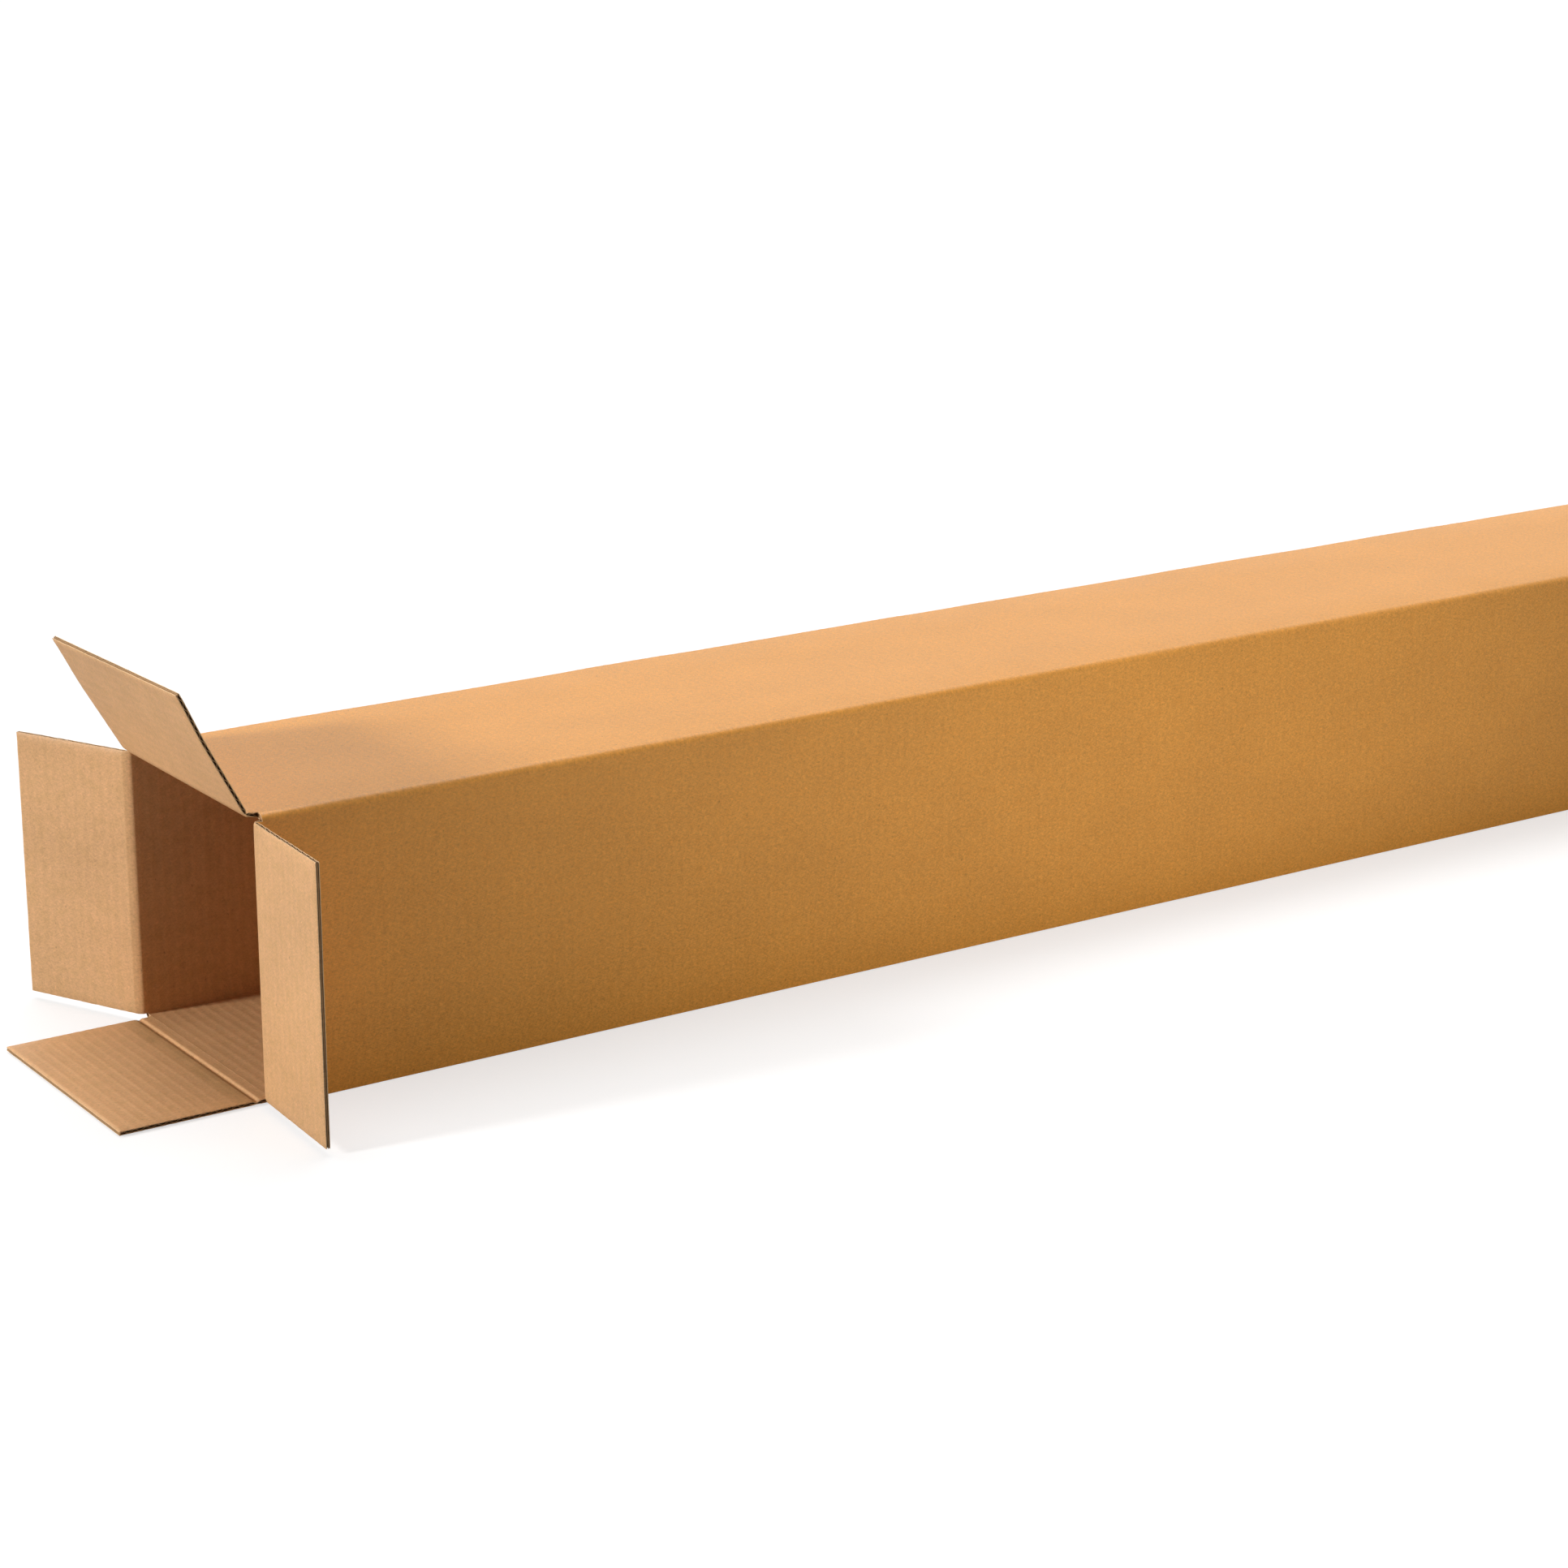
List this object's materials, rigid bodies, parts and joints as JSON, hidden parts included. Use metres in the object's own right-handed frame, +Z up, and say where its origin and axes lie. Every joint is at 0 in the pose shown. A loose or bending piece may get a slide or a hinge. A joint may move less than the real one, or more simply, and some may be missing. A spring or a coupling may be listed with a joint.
{
  "type": "tall corrugated box",
  "caption": "Long square corrugated board carton lying on its side, shut at one end, with hinged flaps standing open at the mouth.",
  "frame": {"origin": "centre of the underside, halfway between the end scores and halfway across the tube", "axes": "+X along the tube towards the shut end, +Y towards the far wall, +Z up from the underside"},
  "size_m": [1.3082, 0.3035, 0.2258],
  "materials": {
    "kraft_outside": "brown kraft outer liner, matt, faint flute bands, small flecks",
    "kraft_inside": "paler brown kraft inner liner, matt, washboard ridges of the flutes"
  },
  "bodies": {
    "tube": {"carton_tube": "kraft_outside"},
    "top_flap": {"top_flap": "kraft_inside"},
    "bottom_flap": {"bottom_flap": "kraft_inside"},
    "near_side_flap": {"near_side_flap": "kraft_inside"},
    "far_side_flap": {"far_side_flap": "kraft_inside"}
  },
  "joints": [
    {"name": "top_flap_score", "type": "hinge", "parent": "tube", "child": "top_flap", "pos_m": [-0.61455, 0, 0.1572], "axis": [0, 1, 0], "range_deg": [-151, 59]},
    {"name": "bottom_flap_score", "type": "hinge", "parent": "tube", "child": "bottom_flap", "pos_m": [-0.61455, 0, 0.0016], "axis": [0, -1, 0], "range_deg": [-90, 0]},
    {"name": "near_side_flap_score", "type": "hinge", "parent": "tube", "child": "near_side_flap", "pos_m": [-0.61105, -0.0778, 0.0794], "axis": [0, 0, 1], "range_deg": [-177, 33]},
    {"name": "far_side_flap_score", "type": "hinge", "parent": "tube", "child": "far_side_flap", "pos_m": [-0.61105, 0.0778, 0.0794], "axis": [0, 0, -1], "range_deg": [-154, 56]}
  ]
}
